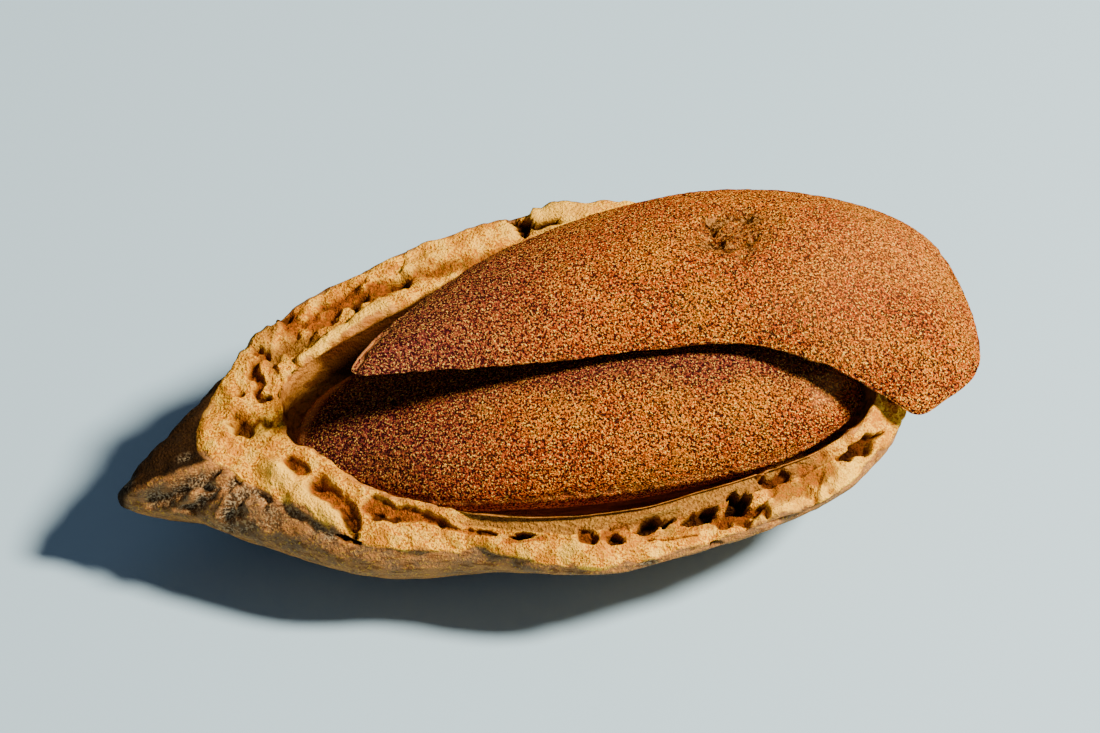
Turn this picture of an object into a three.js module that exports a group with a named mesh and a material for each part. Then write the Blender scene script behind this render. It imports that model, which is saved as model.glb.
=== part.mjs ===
// An almond broken open. Half of its hard shell lies like a small boat, one kernel lies in the
// hollow, and a second, arched kernel from the same shell lies over the first and on the rim.
//
// Millimetres, +Z up. The origin is on the small flat spot under the shell that the almond rests on.
// X runs along the almond: -X is the unbroken, pointed tip and +X the end where the stem was.
// +Y is the far side, where the shell broke off higher, and -Y the low near side.

import * as THREE from 'three';
import { ParametricGeometry } from 'three/addons/geometries/ParametricGeometry.js';
import { mergeVertices } from 'three/addons/utils/BufferGeometryUtils.js';

// ---- Driving dimensions ----

// Flat spot under the shell and flattest part of the hollow's floor: centre and half lengths.
const restSpot = { x: 0.6, y: 0.9, z: 0, halfLength: 4.0, halfWidth: 2.6 };
const hollowFloor = { x: 0.3, y: 0.2, z: 1.9, halfLength: 4.0, halfWidth: 2.0 };

// Places around the shell, from the tip along the near side to the stem end and back along the far
// side. keel: where the wall is widest. rim and lip: outer and inner edge of the broken face.
// fullness: 2 is a round wall under the keel, less is flatter, more is squarer.
const shellPlaces = [
  { keel: [-19.7, -1.2, 3.6], rim: [-15.8, 0.3, 6.4], lip: [-12.5, 0.0, 6.8], fullness: 1.5 },
  { keel: [-17.0, -3.1, 4.2], rim: [-15.9, -1.8, 6.2], lip: [-12.4, -1.2, 6.5], fullness: 1.6 },
  { keel: [-13.0, -5.5, 4.1], rim: [-12.9, -4.4, 5.8], lip: [-11.1, -2.5, 6.4], fullness: 1.7 },
  { keel: [-9.4, -7.2, 3.9], rim: [-9.4, -7.0, 5.0], lip: [-9.1, -4.5, 6.2], fullness: 1.6 },
  { keel: [-4.7, -8.1, 4.2], rim: [-4.7, -7.9, 4.9], lip: [-4.9, -6.5, 6.0], fullness: 1.45 },
  { keel: [0.6, -9.5, 4.5], rim: [0.6, -9.5, 4.8], lip: [0.3, -7.2, 6.0], fullness: 1.2 },
  { keel: [5.8, -8.7, 4.6], rim: [5.8, -8.7, 4.9], lip: [5.4, -6.5, 6.0], fullness: 1.2 },
  { keel: [10.7, -6.8, 4.7], rim: [10.7, -6.8, 5.0], lip: [10.1, -5.1, 6.1], fullness: 1.3 },
  { keel: [13.9, -4.1, 5.0], rim: [13.9, -4.1, 5.3], lip: [13.0, -3.5, 6.3], fullness: 1.5 },
  { keel: [15.3, -1.2, 5.4], rim: [15.3, -1.4, 6.0], lip: [14.0, -1.2, 6.8], fullness: 1.8 },
  { keel: [14.9, 3.4, 6.2], rim: [14.5, 3.3, 7.4], lip: [12.8, 2.8, 7.8], fullness: 2.1 },
  { keel: [11.1, 7.8, 6.4], rim: [10.6, 7.2, 8.4], lip: [8.2, 5.6, 8.4], fullness: 2.3 },
  { keel: [5.2, 10.2, 6.5], rim: [5.0, 9.4, 9.2], lip: [3.6, 6.9, 8.9], fullness: 2.3 },
  { keel: [-1.6, 10.2, 6.4], rim: [-1.4, 9.3, 8.9], lip: [-2.2, 6.8, 8.6], fullness: 2.3 },
  { keel: [-8.1, 8.2, 6.0], rim: [-7.7, 7.6, 8.2], lip: [-6.9, 4.9, 8.0], fullness: 2.2 },
  { keel: [-12.5, 5.7, 5.2], rim: [-11.8, 5.7, 7.4], lip: [-10.8, 2.9, 7.4], fullness: 1.9 },
  { keel: [-16.6, 1.7, 4.6], rim: [-14.5, 3.1, 6.8], lip: [-12.2, 1.7, 7.0], fullness: 1.5 },
];
const shoulderTurn = THREE.MathUtils.degToRad(60); // how far the wall turns from keel to rim
const hollowFullness = { across: 2.2, up: 2.6 };

// Each kernel: its edge, from the left tip along the near side to the right end and back, and the
// crest line of its top and the matching line of its underside, from left to right.
const lowerKernel = {
  edge: [
    [-11.8, -0.3, 5.5], [-10.2, -2.5, 5.1], [-6.3, -4.5, 4.9], [-1.2, -5.0, 4.9],
    [4.5, -4.8, 5.0], [9.2, -3.95, 5.1], [12.2, -2.65, 5.4], [13.4, -1.2, 5.9],
    [12.3, 1.3, 6.4], [9.3, 3.8, 6.5], [4.5, 5.4, 6.3], [-1.0, 5.6, 6.1],
    [-6.0, 4.6, 6.0], [-10.2, 2.3, 5.9],
  ],
  crest: [[-9.0, 0.0, 6.8], [-4.8, 0.0, 7.9], [1.6, 0.1, 8.7], [8.0, 0.0, 8.5], [11.0, -0.3, 7.6]],
  underside: [[-9.0, 0.0, 4.0], [-4.8, 0.0, 2.9], [1.6, 0.1, 2.5], [8.0, 0.0, 3.0], [11.0, -0.3, 4.2]],
  topRoundness: 1.0,
  undersideRoundness: 1.0,
};
const upperKernel = {
  edge: [
    [-9.5, -1.9, 10.8], [-8.5, -2.3, 10.7], [-6.6, -1.95, 10.4], [-3.7, -1.65, 10.0], [-0.1, -1.2, 9.55],
    [3.6, -0.8, 9.3], [7.8, -0.9, 9.3], [11.3, -1.8, 8.6], [13.8, -2.75, 7.3], [15.4, -3.5, 6.4],
    [16.9, -2.7, 6.4], [18.4, -1.6, 6.7], [18.9, 0.2, 7.2], [18.6, 3.2, 7.8], [17.3, 6.2, 8.5],
    [13.4, 8.3, 9.2], [8.2, 9.0, 9.7], [3.2, 8.2, 9.7], [-1.6, 6.1, 9.9], [-5.4, 3.1, 10.3],
    [-8.2, 0.1, 10.75],
  ],
  crest: [[-7.0, -0.7, 11.35], [-0.8, 2.5, 11.5], [6.0, 4.0, 11.7], [12.2, 3.2, 11.2], [16.2, 0.8, 9.5]],
  underside: [[-7.0, -0.7, 10.5], [-0.8, 2.5, 9.95], [6.0, 4.0, 9.7], [12.2, 3.2, 9.4], [16.2, 0.8, 7.9]],
  topRoundness: 1.4,
  undersideRoundness: 2.0,
};

// Fineness of the meshes.
const shellSteps = { around: 68, wall: 9, shoulder: 3, break: 3, hollow: 8 };
const kernelSteps = { around: 44, top: 9, underside: 7 };

// ---- Helpers ----

const quarterTurn = Math.PI / 2;
const vectors = (points) => points.map((point) => new THREE.Vector3(...point));
const loopThrough = (points) => new THREE.CatmullRomCurve3(vectors(points), true, 'catmullrom', 0.5);
const lineThrough = (points) => new THREE.CatmullRomCurve3(vectors(points), false, 'catmullrom', 0.5);

// A curve through single numbers, as long as a loop of points.
function loopOfValues(values) {
  const curve = loopThrough(values.map((value) => [value, 0, 0]));
  return (around) => curve.getPoint(around).x;
}

// From a to b: the plan moves by its own share and the height by another.
function between(a, b, planShare, heightShare) {
  return new THREE.Vector3(
    THREE.MathUtils.lerp(a.x, b.x, planShare),
    THREE.MathUtils.lerp(a.y, b.y, planShare),
    THREE.MathUtils.lerp(a.z, b.z, heightShare),
  );
}

// The closed surface of point(around, down): doubled points are welded, and the triangles without
// area that this leaves at a pole are dropped.
function closedSurface(point, around, down) {
  const sheet = new ParametricGeometry((u, v, target) => target.copy(point(u, v)), around, down);
  sheet.deleteAttribute('normal');
  sheet.deleteAttribute('uv');
  const body = mergeVertices(sheet);
  const corners = body.getIndex().array;
  const kept = [];
  for (let i = 0; i < corners.length; i += 3) {
    const [a, b, c] = corners.slice(i, i + 3);
    if (a !== b && b !== c && c !== a) kept.push(a, b, c);
  }
  body.setIndex(kept);
  body.computeVertexNormals();
  return body;
}

// A stack of stretches, each with its own number of rows, as one function of 0 to 1.
function stretchesInTurn(stretches) {
  const rowsInAll = stretches.reduce((sum, stretch) => sum + stretch.rows, 0);
  return {
    rowsInAll,
    at(share, around) {
      let row = share * rowsInAll;
      let index = 0;
      while (index < stretches.length - 1 && row > stretches[index].rows) {
        row -= stretches[index].rows;
        index += 1;
      }
      return stretches[index].at(Math.min(row / stretches[index].rows, 1), around);
    },
  };
}

// ---- Half shell ----

function shellHalf() {
  const keel = loopThrough(shellPlaces.map((place) => place.keel));
  const rim = loopThrough(shellPlaces.map((place) => place.rim));
  const lip = loopThrough(shellPlaces.map((place) => place.lip));
  const fullness = loopOfValues(shellPlaces.map((place) => place.fullness));

  const centreOf = (oval) => new THREE.Vector3(oval.x, oval.y, oval.z);
  const ovalPoint = (oval, around) => {
    const angle = Math.PI * (1 + 2 * around);
    return centreOf(oval).add(
      new THREE.Vector3(oval.halfLength * Math.cos(angle), oval.halfWidth * Math.sin(angle), 0),
    );
  };

  // A superellipse arc from a flat start to an upright end.
  const bowl = (from, to, share, acrossPower, upPower) => between(
    from,
    to,
    Math.sin(share * quarterTurn) ** (2 / acrossPower),
    1 - Math.cos(share * quarterTurn) ** (2 / upPower),
  );

  const profile = stretchesInTurn([
    {
      rows: 1,
      at: (share, around) => centreOf(restSpot).lerp(ovalPoint(restSpot, around), share),
    },
    {
      rows: shellSteps.wall,
      at: (share, around) => bowl(
        ovalPoint(restSpot, around), keel.getPoint(around), share, fullness(around), fullness(around),
      ),
    },
    {
      rows: shellSteps.shoulder,
      at: (share, around) => between(
        keel.getPoint(around),
        rim.getPoint(around),
        (1 - Math.cos(share * shoulderTurn)) / (1 - Math.cos(shoulderTurn)),
        Math.sin(share * shoulderTurn) / Math.sin(shoulderTurn),
      ),
    },
    {
      rows: shellSteps.break,
      at: (share, around) => rim.getPoint(around).lerp(lip.getPoint(around), share),
    },
    {
      rows: shellSteps.hollow,
      at: (share, around) => bowl(
        ovalPoint(hollowFloor, around), lip.getPoint(around), 1 - share,
        hollowFullness.across, hollowFullness.up,
      ),
    },
    {
      rows: 1,
      at: (share, around) => ovalPoint(hollowFloor, around).lerp(centreOf(hollowFloor), share),
    },
  ]);
  return closedSurface(
    (around, down) => profile.at(down, around), shellSteps.around, profile.rowsInAll,
  );
}

// ---- Kernels ----

// The surface leaves the crest along the crest's own slope and bends down to the edge: with e from
// 0 at the crest to 1 at the edge, it drops by 1 - cos(e * 90 degrees) to the power of roundness.
function kernel({ edge, crest, underside, topRoundness, undersideRoundness }) {
  const edgeLoop = loopThrough(edge);
  const side = (ridgePoints, roundness) => {
    const ridge = lineThrough(ridgePoints);
    return (share, around) => {
      const along = (1 - Math.cos(2 * Math.PI * around)) / 2;
      const start = ridge.getPoint(along);
      const end = edgeLoop.getPoint(around);
      const slope = ridge.getTangent(along);
      const rise = slope.z / Math.hypot(slope.x, slope.y) ** 2;
      const sloped = (point) => start.z
        + rise * ((point.x - start.x) * slope.x + (point.y - start.y) * slope.y);
      const place = between(start, end, Math.sin(share * quarterTurn), 0);
      const drop = 1 - Math.cos(share * quarterTurn) ** roundness;
      place.z = sloped(place) + (end.z - sloped(end)) * drop;
      return place;
    };
  };
  const top = side(crest, topRoundness);
  const bottom = side(underside, undersideRoundness);
  const profile = stretchesInTurn([
    { rows: kernelSteps.top, at: (share, around) => top(share, around) },
    { rows: kernelSteps.underside, at: (share, around) => bottom(1 - share, around) },
  ]);
  return closedSurface(
    (around, down) => profile.at(1 - down, around), kernelSteps.around, profile.rowsInAll,
  );
}

// ---- Materials and the object ----

const shellMaterial = new THREE.MeshStandardMaterial({ color: '#c99b5f', roughness: 0.85, metalness: 0 });
const kernelMaterial = new THREE.MeshStandardMaterial({ color: '#a8602c', roughness: 0.8, metalness: 0 });

function piece(name, geometry, material) {
  const mesh = new THREE.Mesh(geometry, material);
  mesh.name = name;
  return mesh;
}

const almond = new THREE.Group();
almond.add(
  piece('shell_half', shellHalf(), shellMaterial),
  piece('lower_kernel', kernel(lowerKernel), kernelMaterial),
  piece('upper_kernel', kernel(upperKernel), kernelMaterial),
);

export default almond;
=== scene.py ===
import bpy
import numpy as np
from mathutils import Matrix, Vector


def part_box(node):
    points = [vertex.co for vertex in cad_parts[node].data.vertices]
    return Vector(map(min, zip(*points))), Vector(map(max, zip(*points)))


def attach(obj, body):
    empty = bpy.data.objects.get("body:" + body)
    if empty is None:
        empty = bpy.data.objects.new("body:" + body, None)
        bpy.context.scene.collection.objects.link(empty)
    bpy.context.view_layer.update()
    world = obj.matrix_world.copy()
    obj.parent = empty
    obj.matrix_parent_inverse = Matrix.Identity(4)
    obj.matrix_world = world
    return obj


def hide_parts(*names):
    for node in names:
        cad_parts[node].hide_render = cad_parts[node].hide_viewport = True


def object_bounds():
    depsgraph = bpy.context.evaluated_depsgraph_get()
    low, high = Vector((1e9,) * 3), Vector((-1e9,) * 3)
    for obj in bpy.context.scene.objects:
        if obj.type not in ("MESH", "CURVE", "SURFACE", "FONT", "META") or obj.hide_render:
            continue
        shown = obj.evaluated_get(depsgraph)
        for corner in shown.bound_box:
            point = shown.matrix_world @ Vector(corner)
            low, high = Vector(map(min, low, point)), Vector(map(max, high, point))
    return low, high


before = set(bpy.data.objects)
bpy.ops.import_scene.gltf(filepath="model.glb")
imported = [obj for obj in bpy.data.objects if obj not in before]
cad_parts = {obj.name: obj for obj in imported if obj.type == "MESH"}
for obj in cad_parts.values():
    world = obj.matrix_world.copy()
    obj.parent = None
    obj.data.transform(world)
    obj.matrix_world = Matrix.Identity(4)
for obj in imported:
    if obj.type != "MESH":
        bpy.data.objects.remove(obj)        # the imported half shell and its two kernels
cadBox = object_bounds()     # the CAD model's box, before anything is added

from types import SimpleNamespace
from mathutils import Matrix, Vector

mm = 0.001               # shapes are worked out in millimetres and put into the meshes in metres
quarterTurn = np.pi / 2
rootBody = "root"


def cubicBlend(a, b, c, d, u):
    # Catmull-Rom: leaves b and reaches c along the lines a-c and b-d
    return 0.5 * (2 * b + (c - a) * u + (2 * a - 5 * b + 4 * c - d) * u ** 2
                  + (3 * b - 3 * c + d - a) * u ** 3)


def loopThrough(points, around):
    # closed curve through the points, for shares 0 to 1 of the way round
    points = np.asarray(points, float).reshape(len(points), -1)
    place = (around % 1) * len(points)
    index = np.floor(place).astype(int)
    near = [points[(index + step) % len(points)] for step in (-1, 0, 1, 2)]
    return cubicBlend(*near, (place - index)[:, None])


def lineThrough(points, along):
    # open curve through the points, with each end mirrored to give the missing neighbour
    points = np.asarray(points, float)
    points = np.vstack([2 * points[0] - points[1], points, 2 * points[-1] - points[-2]])
    place = np.clip(along, 0, 1) * (len(points) - 3)
    index = np.minimum(np.floor(place).astype(int), len(points) - 4)
    near = [points[index + step] for step in range(4)]
    return cubicBlend(*near, (place - index)[:, None])


def smoothStep(low, high, value):
    share = np.clip((value - low) / (high - low), 0, 1)
    return share * share * (3 - 2 * share)


def mixed(a, b, share):
    return a + (b - a) * share


# a fixed table of random heights, and the large odd numbers that pick one for a lattice cell
tableSeed, tableLength = 41, 4096
latticeHeights = np.random.default_rng(tableSeed).uniform(-1, 1, tableLength)
latticeKeys = np.array([73856093, 19349663, 83492791])
seedKey, keyShift = 9176, 11


def latticeValue(cell, seed):
    key = cell @ latticeKeys + seed * seedKey
    return latticeHeights[(key ^ (key >> keyShift)) % tableLength]


def softNoise(places, size, seed=0):
    # random heights from -1 to 1 on a lattice with cells of that size, blended smoothly in between
    scaled = places / np.asarray(size, float)
    cell = np.floor(scaled).astype(np.int64)
    part = scaled - cell
    part = part * part * (3 - 2 * part)
    total = 0
    for corner in np.ndindex(2, 2, 2):
        weight = np.prod(np.where(np.array(corner) == 1, part, 1 - part), axis=1)
        total = total + weight * latticeValue(cell + corner, seed)
    return total


def layeredNoise(places, size, layers, seed=0):
    # soft noise at a size, half the size and so on, each layer half as strong
    total = 0
    for layer in range(layers):
        halvings = 2 ** layer
        total = total + softNoise(places, np.asarray(size, float) / halvings, seed + layer) / halvings
    return total


def relief(places, waves):
    # the sum of some waves of layered noise, each given as its height, size, layers and seed
    return sum(height * layeredNoise(places, size, layers, seed) for height, size, layers, seed in waves)


def cellDistance(places, size, seed=0):
    # distance, in cells, to the nearest of one random point in each lattice cell
    scaled = places / np.asarray(size, float)
    cell = np.floor(scaled).astype(np.int64)
    nearest = np.full(len(places), np.inf)
    for corner in np.ndindex(3, 3, 3):
        other = cell + np.array(corner) - 1
        point = other + 0.5 + 0.5 * np.stack([latticeValue(other, seed + axis) for axis in (1, 2, 3)], 1)
        nearest = np.minimum(nearest, np.linalg.norm(point - scaled, axis=1))
    return nearest


weldDecimals = 5         # points that agree to so many decimals of a millimetre are one


def weldedGrid(rows, node):
    # rows x columns of points whose columns close on themselves: points in the same place are
    # welded, each cell becomes two triangles, and those without area are dropped. The box of the
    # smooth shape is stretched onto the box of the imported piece.
    count, columns = rows.shape[:2]
    flat = rows.reshape(-1, 3)
    low, high = (np.array(corner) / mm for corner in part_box(node))
    flat = low + (flat - flat.min(0)) * (high - low) / np.ptp(flat, axis=0)
    rounded = np.round(flat, weldDecimals)
    _, first, welded = np.unique(rounded, axis=0, return_index=True, return_inverse=True)
    row, column = np.meshgrid(np.arange(count - 1), np.arange(columns), indexing="ij")
    nextColumn = (column + 1) % columns
    corners = [row * columns + column, row * columns + nextColumn,
               (row + 1) * columns + nextColumn, (row + 1) * columns + column]
    a, b, c, d = (welded.reshape(-1)[corner.reshape(-1)] for corner in corners)
    faces = np.concatenate([np.stack([a, b, c], 1), np.stack([a, c, d], 1)])
    keep = (faces[:, 0] != faces[:, 1]) & (faces[:, 1] != faces[:, 2]) & (faces[:, 2] != faces[:, 0])
    faces = faces[keep]
    points = flat[first]
    if np.einsum("ij,ij->", points[faces[:, 0]], np.cross(points[faces[:, 1]], points[faces[:, 2]])) < 0:
        faces = faces[:, ::-1]
    return points, faces, first


def normalsOf(points, faces):
    # each point's normal is the sum of its faces' area vectors, made one long
    area = np.cross(points[faces[:, 1]] - points[faces[:, 0]], points[faces[:, 2]] - points[faces[:, 0]])
    normals = np.zeros_like(points)
    for corner in range(3):
        np.add.at(normals, faces[:, corner], area)
    return normals / np.maximum(np.linalg.norm(normals, axis=1), 1e-12)[:, None]


def putInScene(thing):
    bpy.context.scene.collection.objects.link(thing)


def addPiece(name, points, faces, fields, material, node):
    # puts the triangles into a mesh, with a point attribute for each field of shares
    mesh = bpy.data.meshes.new(name)
    mesh.vertices.add(len(points))
    mesh.vertices.foreach_set("co", (points * mm).astype(np.float32).ravel())
    mesh.loops.add(faces.size)
    mesh.loops.foreach_set("vertex_index", faces.astype(np.int32).ravel())
    mesh.polygons.add(len(faces))
    mesh.polygons.foreach_set("loop_start", np.arange(0, faces.size, 3, dtype=np.int32))
    mesh.update(calc_edges=True)
    mesh.polygons.foreach_set("use_smooth", np.ones(len(faces), bool))
    for fieldName, values in fields.items():
        field = mesh.attributes.new(fieldName, "FLOAT", "POINT")
        field.data.foreach_set("value", np.clip(values, 0, 1).astype(np.float32))
    mesh.validate()
    mesh.materials.append(material)
    piece = bpy.data.objects.new(name, mesh)
    putInScene(piece)
    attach(piece, rootBody)
    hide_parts(node)
    print(name, len(points), "points", len(faces), "triangles")


def distanceToPath(points, path):
    # shortest distance to the line through the path's points, and how far along it that is
    nearest = np.full(len(points), np.inf)
    along = np.zeros(len(points))
    if len(path) == 1:
        return np.linalg.norm(points - path[0], axis=1), along
    for index in range(len(path) - 1):
        start, run = path[index], path[index + 1] - path[index]
        share = np.clip((points - start) @ run / (run @ run), 0, 1)
        distance = np.linalg.norm(points - start - share[:, None] * run, axis=1)
        closer = distance < nearest
        nearest = np.where(closer, distance, nearest)
        along = np.where(closer, (index + share) / (len(path) - 1), along)
    return nearest, along


# what a mark has unless it says otherwise: its zone, how far noise frays its outline, as a share
# of its width, the size of that noise, and how soft its edge is
plainMark = {"zone": "broken", "fray": 1.0, "grit": 0.5, "edge": 0.45, "slim": False, "depth": 0.0}
fraySeed = 7


def markShare(points, zone, mark):
    # 1 in the middle of a mark and 0 outside it. The mark's points are dropped onto the surface
    # of their zone, its half width runs evenly from the first to the last, and noise frays it.
    # A slim mark also narrows to 0.3 of its width at both ends, by half a sine wave.
    inZone = np.flatnonzero(zone > 0.5)
    path = []
    for place in mark["path"]:
        gap = np.linalg.norm(points[inZone, :len(place)] - place, axis=1)
        path.append(points[inZone[gap.argmin()]])
    distance, along = distanceToPath(points, np.array(path))
    width = mixed(*mark["width"], along)
    if mark["slim"]:
        width = width * mixed(0.3, 1.0, np.sin(np.pi * along))
    frayed = distance + mark["fray"] * width * layeredNoise(points, mark["grit"], 2, seed=fraySeed)
    edge = mark["edge"]
    return (1 - smoothStep(width * (1 - edge), width * (1 + edge), frayed)) * zone


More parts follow.
